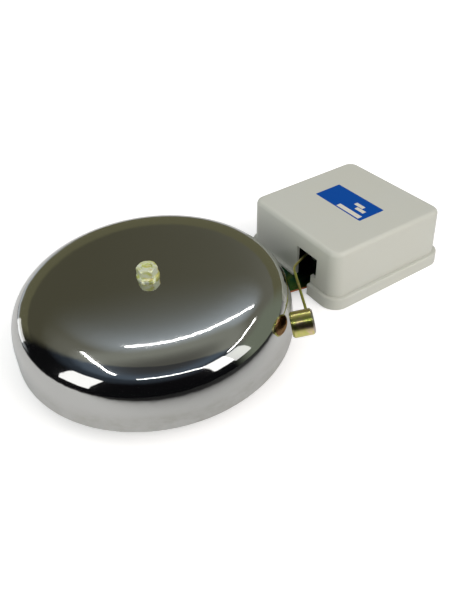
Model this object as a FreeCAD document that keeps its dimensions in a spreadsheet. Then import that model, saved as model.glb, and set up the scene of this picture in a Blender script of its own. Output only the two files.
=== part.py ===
import FreeCAD, Part
import math
import os
import Sketcher

# Electric gong bell: a pressed gong on a pillar, struck from outside by a hammer on a
# wire, which a magnet with a hinged armature drives from inside a moulded cover.
# Row frame: +X from the gong to the cover, +Z away from the wall, origin at the middle
# of the whole bell's footprint on the wall face (z = 0). Millimetres and degrees.

# Driving dimensions: alias, value. Each size that can be set by itself stands once.
SIZES = [
    # gong
    ("gong_diameter", 200.0), ("gong_sheet", 2.0), ("rim_height", 13.6),
    ("skirt_height", 13.2), ("skirt_lean", 0.8), ("bowl_height", 29.2),
    ("bowl_flatness", 8.7), ("bowl_fullness", 2.4), ("hub_flat", 30.0),
    ("lip_round", 0.6), ("gong_cover_gap", 18.5),
    # gong pillar and its M8 bolt
    ("bolt_diameter", 8.0), ("bolt_clearance", 0.4), ("hex_flats", 13.0),
    ("bolt_head_height", 5.3), ("nut_height", 6.5),
    ("washer_diameter", 16.0), ("washer_thickness", 1.6), ("felt_diameter", 24.0),
    ("felt_thickness", 1.0), ("pillar_diameter", 16.0), ("pillar_foot", 26.0),
    ("pillar_foot_height", 4.0), ("hex_chamfer", 0.8), ("stud_recess", 0.6),
    # pan heads: radius and height as parts of the screw's own diameter; hole clearances
    ("head_radius", 0.9), ("head_height", 0.65), ("screw_clearance", 0.5),
    ("slide_fit", 0.05), ("thread_fit", 0.04),
    # base plate
    ("plate_sheet", 1.5), ("plate_lift", 5.5), ("plate_margin", 1.8), ("plate_corner", 6.0),
    ("tongue_root", 26.3), ("tongue_width", 40.0), ("tongue_taper", 29.0),
    ("tongue_round", 14.0), ("step_start", 17.0), ("step_run", 7.0), ("foot_reach", 46.0),
    ("wall_screw_hole", 5.5), ("wall_hole_back", 55.0), ("wall_hole_spacing", 74.0),
    ("pad_radius", 7.5), ("pad_flare", 4.5), ("foot_hole_inset", 12.0),
    # cover
    ("cover_length", 118.0), ("cover_width", 116.0), ("cover_height", 48.4),
    ("cover_wall", 2.5), ("cover_draft", 2.3), ("cover_corner", 10.7),
    ("cover_top_round", 3.8), ("rim_width", 3.05), ("rim_depth", 9.8), ("rim_round", 1.2),
    ("window_edge", 8.3), ("window_width", 24.0), ("window_sill", 17.0),
    ("window_height", 17.3), ("slot_width", 18.2), ("notch_clearance", 0.4),
    ("boss_diameter", 8.0), ("boss_inset", 7.5), ("boss_screw", 4.0),
    ("boss_screw_length", 14.0), ("boss_tip_room", 1.0), ("cover_seat", 0.05),
    # cable inlet
    ("inlet_inset", 34.0), ("inlet_height", 18.6), ("inlet_hole", 12.0),
    ("grommet_bore", 7.0), ("grommet_flange", 16.0), ("grommet_lip", 2.0),
    ("grommet_fit", 0.1),
    # magnet core and coil
    ("core_stack", 20.0), ("core_limb", 8.0), ("core_centre", 16.0), ("core_window", 8.0),
    ("core_depth", 32.0), ("core_yoke", 8.0), ("core_screw", 3.0), ("core_nut_flats", 5.5),
    ("core_nut_height", 2.4), ("spacer_diameter", 6.5), ("bobbin_wall", 1.0),
    ("bobbin_flange", 1.5), ("bobbin_play", 0.3), ("bobbin_overhang", 8.0),
    ("bobbin_setback", 1.0), ("winding_relief", 0.8), ("winding_round", 2.0),
    ("pole_gap", 0.6),
    # armature, spring and its post
    ("armature_setback", 22.7), ("armature_offset", 8.0), ("armature_thickness", 5.0),
    ("spring_sheet", 0.5), ("spring_width", 16.0), ("spring_free", 7.0),
    ("spring_grip", 14.0), ("rivet_diameter", 3.0), ("rivet_head", 5.0),
    ("rivet_head_height", 1.2), ("rivet_spacing", 9.0), ("post_length", 12.0),
    ("post_depth", 9.5), ("post_edge", 1.0), ("clamp_sheet", 1.5), ("clamp_screw", 3.0),
    ("clamp_screw_length", 8.0), ("post_screw", 4.0), ("post_screw_length", 9.0),
    # back stop
    ("stop_setback", 9.0), ("stop_travel", 2.5), ("stop_clearance", 0.3),
    ("stop_pin", 3.0), ("stop_pin_end", 1.0), ("stop_sleeve", 6.0),
    ("stop_sleeve_height", 10.0),
    # hammer and rod
    ("rod_diameter", 2.0), ("rod_socket", 12.0), ("rod_lead", 4.1), ("rod_lead_bend", 8.0),
    ("rod_run_angle", 28.4), ("rod_corner_height", 33.0), ("rod_bend", 18.0),
    ("rod_fit", 0.02), ("hammer_diameter", 17.7), ("hammer_length", 15.2),
    ("hammer_chamfer", 1.3), ("hammer_bearing", 51.2), ("hammer_stand_off", 8.45),
    ("hammer_height", 38.0), ("hammer_turn", 28.6), ("hammer_tilt", 9.0),
    ("hammer_offset", 4.8), ("hammer_socket", 6.0),
    # terminal block and earth screw
    ("block_length", 22.0), ("block_width", 24.0), ("block_height", 14.0),
    ("block_back", 26.0), ("terminal_pitch", 10.0), ("terminal_bore", 4.6),
    ("terminal_tube", 7.0), ("terminal_inset", 2.0), ("terminal_screw", 3.5),
    ("terminal_screw_length", 5.0), ("block_screw", 3.0), ("block_screw_length", 17.0),
    ("earth_screw", 4.0), ("earth_screw_length", 6.0),
    ("earth_washer", 9.0), ("earth_washer_thickness", 0.8), ("earth_offset", 24.0),
]

# Worked-out places: alias, formula. Formulas read the sizes and the places above them.
PLACES = [
    ("overall", "Size.gong_diameter + Size.gong_cover_gap + Size.cover_length"),
    ("gong_x", "(Size.gong_diameter - overall) / 2"),
    ("front_x", "gong_x + Size.gong_diameter / 2 + Size.gong_cover_gap"),
    ("back_x", "front_x + Size.cover_length"),
    ("wall_x", "front_x + Size.rim_width"),
    ("back_wall_x", "back_x - Size.rim_width"),
    ("inner_front_x", "wall_x + Size.cover_wall"),
    ("inner_back_x", "back_wall_x - Size.cover_wall"),
    ("half_width", "Size.cover_width / 2 - Size.rim_width"),
    ("inner_half_width", "half_width - Size.cover_wall"),
    ("plate_top", "Size.plate_lift + Size.plate_sheet"),
    ("crown_top", "Size.rim_height + Size.skirt_height + Size.bowl_height"),
    ("crown_under", "crown_top - Size.gong_sheet"),
    ("pillar_height", "crown_under - Size.felt_thickness - plate_top"),
    ("nut_base", "crown_top + Size.washer_thickness"),
    ("nut_top", "nut_base + Size.nut_height"),
    ("bolt_hole", "(Size.bolt_diameter + Size.bolt_clearance) / 2"),
    ("hex_radius", "Size.hex_flats / 2 / cos(30)"),
    ("plate_x0", "inner_front_x + Size.plate_margin"),
    ("plate_x1", "inner_back_x - Size.plate_margin"),
    ("plate_half", "inner_half_width - Size.plate_margin"),
    ("step_x", "gong_x - Size.step_start"),
    ("foot_x", "gong_x - Size.foot_reach"),
    ("wall_hole_x", "front_x + Size.wall_hole_back"),
    ("work_z", "Size.window_sill + Size.window_height / 2"),
    ("boss_x0", "inner_front_x + Size.boss_inset"),
    ("boss_x1", "inner_back_x - Size.boss_inset"),
    ("boss_y", "inner_half_width - Size.boss_inset"),
    ("armature_x0", "wall_x + Size.armature_setback"),
    ("core_length", "2 * Size.core_limb + 2 * Size.core_window + Size.core_centre"),
    ("armature_x1", "armature_x0 + core_length"),
    ("armature_y0", "-Size.armature_offset - Size.armature_thickness / 2"),
    ("armature_y1", "-Size.armature_offset + Size.armature_thickness / 2"),
    ("core_z0", "work_z - Size.core_stack / 2"),
    ("core_y0", "armature_y1 + Size.pole_gap"),
    ("core_y1", "core_y0 + Size.core_depth"),
    ("centre_x0", "armature_x0 + Size.core_limb + Size.core_window"),
    ("spacer_height", "core_z0 - plate_top"),
    ("hinge_x", "armature_x1 + Size.spring_free / 2"),
    ("post_x", "armature_x1 + Size.spring_free"),
    ("block_x", "inner_back_x - Size.block_back"),
    ("inlet_y", "Size.cover_width / 2 - Size.inlet_inset"),
    ("block_y", "inlet_y - Size.block_width / 2"),
    ("inlet_x", "back_wall_x - Size.inlet_height * tan(Size.cover_draft)"),
    ("stop_x", "armature_x0 + Size.stop_setback"),
    ("stop_y", "armature_y0 - (hinge_x - stop_x) * sin(Size.stop_travel)"
               " - Size.stop_clearance - Size.stop_sleeve / 2"),
]

doc = FreeCAD.newDocument("electric_gong_bell")
AXIS_X = FreeCAD.Rotation(FreeCAD.Vector(0, 1, 0), 90)
AXIS_Y = FreeCAD.Rotation(FreeCAD.Vector(1, 0, 0), -90)


def make_sheet(name, rows, formula):
    """A spreadsheet of aliased cells: plain numbers, or formulas of worked-out places."""
    sheet = doc.addObject("Spreadsheet::Sheet", name)
    for row, (alias, content) in enumerate(rows, 1):
        sheet.set(f"A{row}", alias)
        sheet.set(f"B{row}", f"={content}" if formula else str(content))
        sheet.setAlias(f"B{row}", alias)
    doc.recompute()
    return sheet


size = make_sheet("Size", SIZES, False)
place = make_sheet("Place", PLACES, True)


def bind(item, **expressions):
    """Tie properties of an object to expressions; x, y and z stand for its position."""
    for prop, expression in expressions.items():
        path = f"Placement.Base.{prop}" if prop in ("x", "y", "z") else prop
        item.setExpression(path, str(expression))
    return item


def box(name, x0, x1, y0, y1, z0, z1):
    """A box between two corners, each coordinate an expression."""
    item = doc.addObject("Part::Box", name)
    return bind(item, x=x0, y=y0, z=z0, Length=f"({x1}) - ({x0})",
                Width=f"({y1}) - ({y0})", Height=f"({z1}) - ({z0})")


def cylinder(name, radius, height, x, y, z, turn=None):
    """A cylinder on +Z, or on the axis that turn gives, from its base centre."""
    item = doc.addObject("Part::Cylinder", name)
    if turn is not None:
        item.Placement.Rotation = turn
    return bind(item, Radius=radius, Height=height, x=x, y=y, z=z)


def cone(name, radius0, radius1, height, x, y, z):
    item = doc.addObject("Part::Cone", name)
    return bind(item, Radius1=radius0, Radius2=radius1, Height=height, x=x, y=y, z=z)


def hexagon(name, radius, height, x, y, z):
    """A hexagonal prism with one corner towards -Y."""
    item = doc.addObject("Part::Prism", name)
    item.Polygon = 6
    item.Placement.Rotation = FreeCAD.Rotation(FreeCAD.Vector(0, 0, 1), 30)
    return bind(item, Circumradius=radius, Height=height, x=x, y=y, z=z)


def bore(name, radius, x, y):
    """A vertical cutter that passes right through the bell."""
    return cylinder(name, radius, "Size.gong_diameter", x, y, "-Size.gong_diameter / 2")


def bore_across(name, radius, x, z):
    """The same along Y."""
    return cylinder(name, radius, "Size.gong_diameter", x, "-Size.gong_diameter / 2", z, AXIS_Y)


def fuse(name, *items):
    item = doc.addObject("Part::MultiFuse", name)
    item.Shapes = list(items)
    return item


def cut(name, base, *tools):
    """Base less its tools; several tools are joined first."""
    item = doc.addObject("Part::Cut", name)
    item.Base = base
    item.Tool = tools[0] if len(tools) == 1 else fuse(f"{name}_cuts", *tools)
    return item


def common(name, base, tool):
    item = doc.addObject("Part::Common", name)
    item.Base = base
    item.Tool = tool
    return item


def group(name, *items):
    """Identical pieces kept as separate solids of one node."""
    item = doc.addObject("Part::Compound", name)
    item.Links = list(items)
    return item


def edge_names(shape, wanted):
    return [f"Edge{number}" for number, edge in enumerate(shape.Edges, 1) if wanted(edge)]


def circle_at(height):
    """A test for round edges that lie flat at a height."""
    def wanted(edge):
        flat = edge.BoundBox.ZLength < 1e-4 and abs(edge.BoundBox.ZMin - height) < 1e-4
        return flat and isinstance(edge.Curve, Part.Circle)
    return wanted


def round_edges(name, base, radius, wanted, kind="Part::Fillet"):
    """Fillet or chamfer the edges of a base object that a test picks."""
    doc.recompute()
    item = doc.addObject(kind, name)
    item.Base = base
    names = edge_names(base.Shape, wanted)
    item.Edges = [(int(edge[4:]), radius, radius) for edge in names]
    return item


def origin_plane(body, role):
    return [part for part in body.Origin.OriginFeatures if part.Role == role][0]


def outline(body, name, role, corners):
    """A closed sketch on an origin plane; each corner is a pair of expressions."""
    sketch = body.newObject("Sketcher::SketchObject", name)
    sketch.AttachmentSupport = [(origin_plane(body, role), "")]
    sketch.MapMode = "FlatFace"
    count = len(corners)
    for index in range(count):
        turn = [2 * math.pi * (index + step) / count for step in (0, 1)]
        ends = [FreeCAD.Vector(9 * math.cos(a), 9 * math.sin(a), 0) for a in turn]
        sketch.addGeometry(Part.LineSegment(*ends))
    for index in range(count):
        after = (index + 1) % count
        sketch.addConstraint(Sketcher.Constraint("Coincident", index, 2, after, 1))
    for index, (across, along) in enumerate(corners):
        for kind, expression in (("DistanceX", across), ("DistanceY", along)):
            link = sketch.addConstraint(Sketcher.Constraint(kind, -1, 1, index, 1, 9.0))
            sketch.setExpression(f"Constraints[{link}]", str(expression))
    return sketch


def pad(body, sketch, name, length, **expressions):
    item = body.newObject("PartDesign::Pad", name)
    item.Profile = sketch
    return bind(item, Length=length, **expressions)


def fillet(body, base, name, radius, wanted):
    """A PartDesign fillet of the edges that a test picks."""
    doc.recompute()
    item = body.newObject("PartDesign::Fillet", name)
    item.Base = (base, edge_names(base.Shape, wanted))
    return bind(item, Radius=radius)


def rounded_outline(body, name, x0, x1, half, corner):
    """A sketched rectangle on the XY plane whose corners are tangent arcs."""
    sketch = body.newObject("Sketcher::SketchObject", name)
    sketch.AttachmentSupport = [(origin_plane(body, "XY_Plane"), "")]
    sketch.MapMode = "FlatFace"
    across = [x0, f"{x0} + {corner}", f"{x1} - ({corner})", x1]
    along = [f"-({half})", f"-({half}) + {corner}", f"{half} - ({corner})", half]
    walls = [((1, 0), (2, 0)), ((3, 1), (3, 2)), ((2, 3), (1, 3)), ((0, 2), (0, 1))]
    centres = [(2, 1), (2, 2), (1, 2), (1, 1)]

    def value(expression):
        return float(size.evalExpression(expression))

    def vector(column, row):
        return FreeCAD.Vector(value(across[column]), value(along[row]), 0)

    def drive(expression, kind, *where):
        link = sketch.addConstraint(Sketcher.Constraint(kind, *where, value(expression)))
        sketch.setExpression(f"Constraints[{link}]", expression)

    for start, end in walls:
        sketch.addGeometry(Part.LineSegment(vector(*start), vector(*end)))
    for index, centre in enumerate(centres):
        circle = Part.Circle(vector(*centre), FreeCAD.Vector(0, 0, 1), value(corner))
        turn = math.radians(90 * index - 90)
        sketch.addGeometry(Part.ArcOfCircle(circle, turn, turn + math.pi / 2))
    for index, ends in enumerate(walls):
        for end, (column, row) in enumerate(ends, 1):
            drive(across[column], "DistanceX", -1, 1, index, end)
            drive(along[row], "DistanceY", -1, 1, index, end)
        arc, after = index + 4, (index + 1) % 4
        sketch.addConstraint(Sketcher.Constraint("Coincident", index, 2, arc, 1))
        sketch.addConstraint(Sketcher.Constraint("Coincident", arc, 2, after, 1))
        drive(corner, "Radius", arc)
    return sketch


def tapered_block(name, x0, x1, half, height, corner, top_round):
    """A block with drafted walls, rounded corners and a rounded top edge."""
    body = doc.addObject("PartDesign::Body", name)
    sketch = rounded_outline(body, f"{name}_sketch", x0, x1, half, corner)
    block = pad(body, sketch, f"{name}_pad", height, TaperAngle="-Size.cover_draft")
    doc.recompute()
    top = max(vertex.Z for vertex in block.Shape.Vertexes)
    fillet(body, block, f"{name}_top", top_round,
           lambda edge: all(abs(vertex.Z - top) < 1e-4 for vertex in edge.Vertexes))
    return body


def screw(name, diameter, length, x, y, z, down=True):
    """A pan-head screw on Z; z is the face that its head seats on."""
    height = f"{diameter} * Size.head_height"
    shank_z = f"({z}) - ({length})" if down else z
    head_z = z if down else f"({z}) - {height}"
    shank = cylinder(f"{name}_shank", f"{diameter} / 2", length, x, y, shank_z)
    head = cylinder(f"{name}_head", f"{diameter} * Size.head_radius", height, x, y, head_z)
    return fuse(name, shank, head)


def gong_shape():
    """The gong's wall as one revolved profile: a leaning skirt and a superellipse bowl.

    At a radius of u times the skirt's own, the bowl stands (1 - u^flatness)^(1/fullness) of
    its height over the skirt. Its radii lean in with height as the skirt does, so the two
    meet without a crease.
    """
    rim, sheet, steps = size.gong_diameter / 2, size.gong_sheet, 30
    skirt_top = size.rim_height + size.skirt_height
    lean = size.skirt_lean / size.skirt_height
    reach, crown = rim - size.skirt_lean, place.crown_top
    hub, bore = size.hub_flat, place.bolt_hole

    def point(radius, height):
        return FreeCAD.Vector(radius, 0, height)

    def bowl_point(step):
        turn = math.pi / 2 * step / steps
        share = math.sin(turn) ** (2 / size.bowl_flatness)
        height = size.bowl_height * math.cos(turn) ** (2 / size.bowl_fullness)
        return point(share * (reach - lean * height), skirt_top + height)

    def curve(points):
        bowl = Part.BSplineCurve()
        bowl.interpolate(Points=points, InitialTangent=point(1, 0),
                         FinalTangent=point(lean, -1))
        return bowl

    def line(start, end):
        return Part.LineSegment(start, end).toShape()

    outer = [point(hub, crown)] + [bowl_point(step) for step in range(1, steps)]
    outer.append(point(reach, skirt_top))
    bowl = curve(outer)
    inner = []
    for spot in outer:
        along = bowl.tangent(bowl.parameter(spot))[0]
        inner.append(spot - point(-along.z, along.x) * sheet)
    bowl_inside = curve(inner)
    edges = [
        line(point(rim, size.rim_height), outer[-1]),
        bowl.toShape(),
        line(outer[0], point(bore, crown)),
        line(point(bore, crown), point(bore, crown - sheet)),
        line(point(bore, crown - sheet), inner[0]),
        bowl_inside.toShape(),
        line(inner[-1], point(rim - sheet, size.rim_height)),
        line(point(rim - sheet, size.rim_height), point(rim, size.rim_height)),
    ]
    wall = Part.Face(Part.Wire(Part.sortEdges(edges)[0]))
    solid = wall.revolve(FreeCAD.Vector(0, 0, 0), FreeCAD.Vector(0, 0, 1), 360)
    lip = edge_names(solid, circle_at(size.rim_height))
    return solid.makeFillet(size.lip_round, [solid.Edges[int(name[4:]) - 1] for name in lip])


def make_gong():
    gong = doc.addObject("Part::Feature", "gong")
    gong.Shape = gong_shape()
    return bind(gong, x="Place.gong_x")


def make_base_plate():
    """Pressed plate: a raised platform, a tongue with a stepped foot, two screw pads."""
    shape_body = doc.addObject("PartDesign::Body", "plate_outline")
    half, root = "Place.plate_half", "Size.tongue_root"
    narrow = "Size.tongue_width / 2"
    neck, taper = "Place.front_x", "Place.front_x - Size.tongue_taper"
    lower = [("Place.foot_x", f"-{narrow}"), (taper, f"-{narrow}"), (neck, f"-{root}"),
             ("Place.plate_x0", f"-{root}"), ("Place.plate_x0", f"-{half}"),
             ("Place.plate_x1", f"-{half}")]
    upper = [(across, along[1:]) for across, along in reversed(lower)]
    sketch = outline(shape_body, "plate_sketch", "XY_Plane", lower + upper)
    sheet = pad(shape_body, sketch, "plate_pad", "Place.plate_top + Size.plate_sheet")
    foot_x, plate_x1 = place.foot_x, place.plate_x1

    def foot_edge(edge):
        return stands(edge) and abs(edge.BoundBox.XMin - foot_x) < 1e-4

    def end_edge(edge):
        wide = abs(abs(edge.BoundBox.YMin) - place.plate_half) < 1e-4
        return stands(edge) and (wide or abs(edge.BoundBox.XMin - plate_x1) < 1e-4)

    sheet = fillet(shape_body, sheet, "tongue_end", "Size.tongue_round", foot_edge)
    sheet = fillet(shape_body, sheet, "plate_corners", "Size.plate_corner", end_edge)

    step_body = doc.addObject("PartDesign::Body", "plate_section")
    low, high, thick = "0", "Size.plate_lift", "Size.plate_sheet"
    step_end = "Place.step_x - Size.step_run"
    path = [("Place.foot_x - Size.plate_sheet", low), (step_end, low), ("Place.step_x", high),
            ("Place.plate_x1 + Size.plate_sheet", high)]
    upper = [(across, f"{level} + {thick}") for across, level in reversed(path)]
    section = outline(step_body, "section_sketch", "XZ_Plane", path + upper)
    run = pad(step_body, section, "section_pad", "Size.cover_width")
    run.SideType = "Symmetric"
    plate = common("plate_pressed", shape_body, step_body)

    pads, hollows, holes = [], [], []
    pad_top = "(Size.pad_radius + Size.pad_flare)"
    for side, sign in enumerate("-+"):
        spot = ("Place.wall_hole_x", f"{sign}Size.wall_hole_spacing / 2")
        pads.append(cone(f"screw_pad_{side}", "Size.pad_radius", pad_top, "Place.plate_top",
                         *spot, "0"))
        hollows.append(cone(f"screw_hollow_{side}", "Size.pad_radius - Size.plate_sheet / 2",
                            f"{pad_top} - Size.plate_sheet / 2", "Size.plate_lift",
                            *spot, "Size.plate_sheet"))
        holes.append(bore(f"wall_hole_{side}", "Size.wall_screw_hole / 2", *spot))
    holes.append(bore("foot_hole", "Size.wall_screw_hole / 2",
                      "Place.foot_x + Size.foot_hole_inset", "0"))
    holes.append(bore("pillar_hole", "Place.bolt_hole", "Place.gong_x", "0"))
    holes.append(bore("stop_hole", "Size.stop_pin / 2 + Size.slide_fit",
                      "Place.stop_x", "Place.stop_y"))
    for family, diameter, play, spots in PLATE_HOLES:
        for index, spot in enumerate(spots):
            holes.append(bore(f"plate_{family}_{index}", f"({diameter} + {play}) / 2", *spot))
    return cut("base_plate", fuse("plate_padded", plate, *pads), *hollows, *holes)


# Screw places, each a pair of expressions
COVER_SCREWS = [(x, f"{sign}Place.boss_y") for x in ("Place.boss_x0", "Place.boss_x1")
                for sign in ("-", "")]
CORE_SCREWS = [(x, y) for x in ("Place.armature_x0 + Size.core_limb / 2",
                                "Place.armature_x1 - Size.core_limb / 2")
               for y in ("Place.core_y0 + Size.core_limb / 2",
                         "Place.core_y1 - Size.core_yoke / 2")]
POST_SCREWS = [("Place.post_x + Size.post_length / 2",
                "Place.armature_y0 + Size.post_depth / 2")]
BLOCK_SCREW = ("Place.block_x + Size.block_length / 2", "Place.inlet_y")
EARTH_SCREW = ("Place.block_x + Size.block_length / 2", "-Size.earth_offset")
PLATE_HOLES = [
    ("cover", "Size.boss_screw", "Size.screw_clearance", COVER_SCREWS),
    ("core", "Size.core_screw", "Size.screw_clearance", CORE_SCREWS),
    ("post", "Size.post_screw", "Size.screw_clearance", POST_SCREWS),
    ("block", "Size.block_screw", "2 * Size.thread_fit", [BLOCK_SCREW]),
    ("earth", "Size.earth_screw", "2 * Size.thread_fit", [EARTH_SCREW]),
]


def make_pillar():
    """Bolt, pillar, felt washer, washer and nut that carry the gong's hub."""
    at = ("Place.gong_x", "0")
    shank_top = "Place.nut_top - Size.stud_recess"
    shank = cylinder("bolt_shank", "Size.bolt_diameter / 2", f"{shank_top} - Size.plate_lift",
                     *at, "Size.plate_lift")
    doc.recompute()
    end = shank.Shape.BoundBox.ZMax
    pointed = round_edges("bolt_point", shank, size.hex_chamfer, circle_at(end), "Part::Chamfer")
    head = hexagon("bolt_head", "Place.hex_radius", "Size.bolt_head_height", *at,
                   "Size.plate_lift - Size.bolt_head_height")
    fuse("gong_bolt", pointed, head)

    def ring(name, radius, height, z):
        blank = cylinder(f"{name}_blank", radius, height, *at, z)
        return cut(name, blank, bore(f"{name}_bore", "Place.bolt_hole", *at))

    column = cylinder("pillar_column", "Size.pillar_diameter / 2", "Place.pillar_height",
                      *at, "Place.plate_top")
    foot = cone("pillar_flare", "Size.pillar_foot / 2", "Size.pillar_diameter / 2",
                "Size.pillar_foot_height", *at, "Place.plate_top")
    cut("gong_pillar", fuse("pillar_blank", column, foot),
        bore("pillar_bore", "Place.bolt_hole", *at))
    ring("felt_washer", "Size.felt_diameter / 2", "Size.felt_thickness",
         "Place.crown_under - Size.felt_thickness")
    ring("gong_washer", "Size.washer_diameter / 2", "Size.washer_thickness", "Place.crown_top")
    prism = hexagon("nut_prism", "Place.hex_radius", "Size.nut_height", *at, "Place.nut_base")
    turned = cylinder("nut_turning", "Place.hex_radius", "Size.nut_height", *at,
                      "Place.nut_base")
    lathed = round_edges("nut_chamfers", turned, size.hex_chamfer, lambda edge: edge.Closed,
                         "Part::Chamfer")
    cut("gong_nut", common("nut_blank", prism, lathed),
        bore("nut_bore", "Size.bolt_diameter / 2 + Size.thread_fit", *at))


def at_inlet(name, radius, start, end):
    """A cylinder square to the drafted back wall; start and end count from its face."""
    turn = FreeCAD.Rotation(FreeCAD.Vector(0, 1, 0), 90 - size.cover_draft)
    return cylinder(name, radius, f"({end}) - ({start})",
                    f"Place.inlet_x + ({start}) * cos(Size.cover_draft)", "Place.inlet_y",
                    f"Size.inlet_height + ({start}) * sin(Size.cover_draft)", turn)


def make_cover():
    """Moulded cover: drafted box with a rim, screw bosses, window, slot and plate notch."""
    shell = tapered_block("cover_block", "Place.wall_x", "Place.back_wall_x",
                          "Place.half_width", "Size.cover_height", "Size.cover_corner",
                          "Size.cover_top_round")
    rim = tapered_block("cover_rim", "Place.front_x", "Place.back_x", "Size.cover_width / 2",
                        "Size.rim_depth", "Size.cover_corner + Size.rim_width",
                        "Size.rim_round")
    cavity = tapered_block("cover_cavity", "Place.inner_front_x", "Place.inner_back_x",
                           "Place.inner_half_width", "Size.cover_height - Size.cover_wall",
                           "Size.cover_corner - Size.cover_wall",
                           "Size.cover_top_round - Size.cover_wall / 2")
    hollow = cut("cover_hollow", fuse("cover_outside", shell, rim), cavity)
    boss_z = "Place.plate_top + Size.cover_seat"
    bosses = [cylinder(f"boss_{index}", "Size.boss_diameter / 2",
                       f"Size.cover_height - Size.cover_wall / 2 - ({boss_z})", x, y, boss_z)
              for index, (x, y) in enumerate(COVER_SCREWS)]
    pilots = [cylinder(f"pilot_{index}", "Size.boss_screw / 2 + Size.thread_fit",
                       "Size.boss_screw_length + Size.boss_tip_room", x, y,
                       "Size.plate_lift")
              for index, (x, y) in enumerate(COVER_SCREWS)]
    x0, x1 = "Place.front_x - Size.cover_wall", "Place.inner_front_x + Size.cover_wall"
    near, sill, under = "-Size.window_edge", "Size.window_sill", "-Size.cover_wall"
    window = box("window", x0, x1, f"{near} - Size.window_width", near, sill,
                 f"{sill} + Size.window_height")
    slot = box("slot", x0, x1, f"{near} - Size.slot_width", near, under,
               f"{sill} + Size.cover_wall")
    half = "Size.tongue_root + Size.notch_clearance"
    notch = box("notch", x0, x1, f"-({half})", half, under,
                "Place.plate_top + Size.notch_clearance")
    inlet = at_inlet("inlet", "Size.inlet_hole / 2", "-2 * Size.cover_wall",
                     "2 * Size.cover_wall")
    cut("cover", fuse("cover_bossed", hollow, *bosses), window, slot, notch, inlet, *pilots)


def make_cover_screws():
    group("cover_screws", *[
        screw(f"cover_screw_{index}", "Size.boss_screw", "Size.boss_screw_length", *at,
              "Size.plate_lift", down=False)
        for index, at in enumerate(COVER_SCREWS)])


def make_grommet():
    """Rubber grommet in the back wall's cable hole, a lip on each side of the wall."""
    lip = "Size.grommet_lip"
    inside = "-(Size.cover_wall + 2 * Size.grommet_fit)"
    neck = at_inlet("grommet_neck", "Size.inlet_hole / 2 - Size.grommet_fit",
                    f"{inside} - {lip}", lip)
    lips = [at_inlet("grommet_outer", "Size.grommet_flange / 2", "0", lip),
            at_inlet("grommet_inner", "Size.grommet_flange / 2", f"{inside} - {lip}", inside)]
    passage = at_inlet("grommet_hole", "Size.grommet_bore / 2", "-Size.grommet_flange",
                       "Size.grommet_flange")
    cut("cable_grommet", fuse("grommet_blank", neck, *lips), passage)


def make_magnet():
    """E-shaped laminated core with its poles towards the armature, bobbin and winding."""
    z0, z1 = "Place.core_z0", "Place.core_z0 + Size.core_stack"
    body = doc.addObject("PartDesign::Body", "core_body")
    x0, y0, y1 = "Place.armature_x0", "Place.core_y0", "Place.core_y1"
    floor = "Place.core_y1 - Size.core_yoke"
    stops = [x0, f"{x0} + Size.core_limb", f"{x0} + Size.core_limb + Size.core_window",
             "Place.centre_x0 + Size.core_centre",
             "Place.centre_x0 + Size.core_centre + Size.core_window", "Place.armature_x1"]
    corners = [(stops[0], y1), (stops[0], y0)]
    for index, stop in enumerate(stops[1:5]):
        low_first = index % 2 == 0
        corners += [(stop, y0 if low_first else floor), (stop, floor if low_first else y0)]
    corners += [(stops[5], y0), (stops[5], y1)]
    sketch = outline(body, "core_sketch", "XY_Plane", corners)
    bind(sketch, **{"AttachmentOffset.Base.z": z0})
    pad(body, sketch, "core_pad", "Size.core_stack")
    holes = [bore(f"lamination_hole_{index}", "Size.core_screw / 2 + Size.slide_fit", *at)
             for index, at in enumerate(CORE_SCREWS)]
    cut("magnet_core", body, *holes)

    play, wall = "Size.bobbin_play", "Size.bobbin_wall"
    flange, over = "Size.bobbin_flange", "Size.bobbin_overhang"
    c0, c1 = "Place.centre_x0", "(Place.centre_x0 + Size.core_centre)"
    b0, b1 = f"{y0} + Size.bobbin_setback", f"{floor} - {play}"

    def sleeve(name, grow, start, end, reach=None):
        reach = reach or grow
        return box(name, f"{c0} - ({grow})", f"{c1} + {grow}", start, end,
                   f"{z0} - ({reach})", f"{z1} + {reach}")

    side = f"(Size.core_window - {play})"
    tube = sleeve("bobbin_tube", f"({play} + {wall})", b0, b1)
    flanges = [sleeve("bobbin_front", side, b0, f"{b0} + {flange}", over),
               sleeve("bobbin_back", side, f"{b1} - {flange}", b1, over)]
    cut("coil_bobbin", fuse("bobbin_blank", tube, *flanges),
        sleeve("bobbin_bore", play, f"{b0} - {wall}", f"{b1} + {wall}"))
    fit = "Size.slide_fit"
    wound = sleeve("winding_block", f"({side} - Size.winding_relief)",
                   f"{b0} + {flange} + {fit}", f"{b1} - {flange} - {fit}",
                   f"({over} - Size.winding_relief)")
    along = round_edges("winding_eased", wound, size.winding_round,
                        lambda edge: edge.BoundBox.YLength > edge.Length / 2)
    cut("coil_winding", along,
        sleeve("winding_bore", f"({play} + {wall} + {fit})", b0, b1))

    spacers, screws, nuts = [], [], []
    for index, at in enumerate(CORE_SCREWS):
        blank = cylinder(f"spacer_blank_{index}", "Size.spacer_diameter / 2",
                         "Place.spacer_height", *at, "Place.plate_top")
        spacers.append(cut(f"spacer_{index}", blank,
                           bore(f"spacer_hole_{index}", "Size.core_screw / 2 + Size.slide_fit",
                                *at)))
        screws.append(screw(f"core_screw_{index}", "Size.core_screw",
                            f"{z1} - Size.plate_lift + Size.core_nut_height", *at, z1))
        prism = hexagon(f"core_nut_prism_{index}", "Size.core_nut_flats / 2 / cos(30)",
                        "Size.core_nut_height", *at, "Size.plate_lift - Size.core_nut_height")
        nuts.append(cut(f"core_nut_{index}", prism,
                        bore(f"core_nut_hole_{index}", "Size.core_screw / 2 + Size.thread_fit",
                             *at)))
    group("core_spacers", *spacers)
    group("core_screws", *screws)
    group("core_nuts", *nuts)


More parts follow.
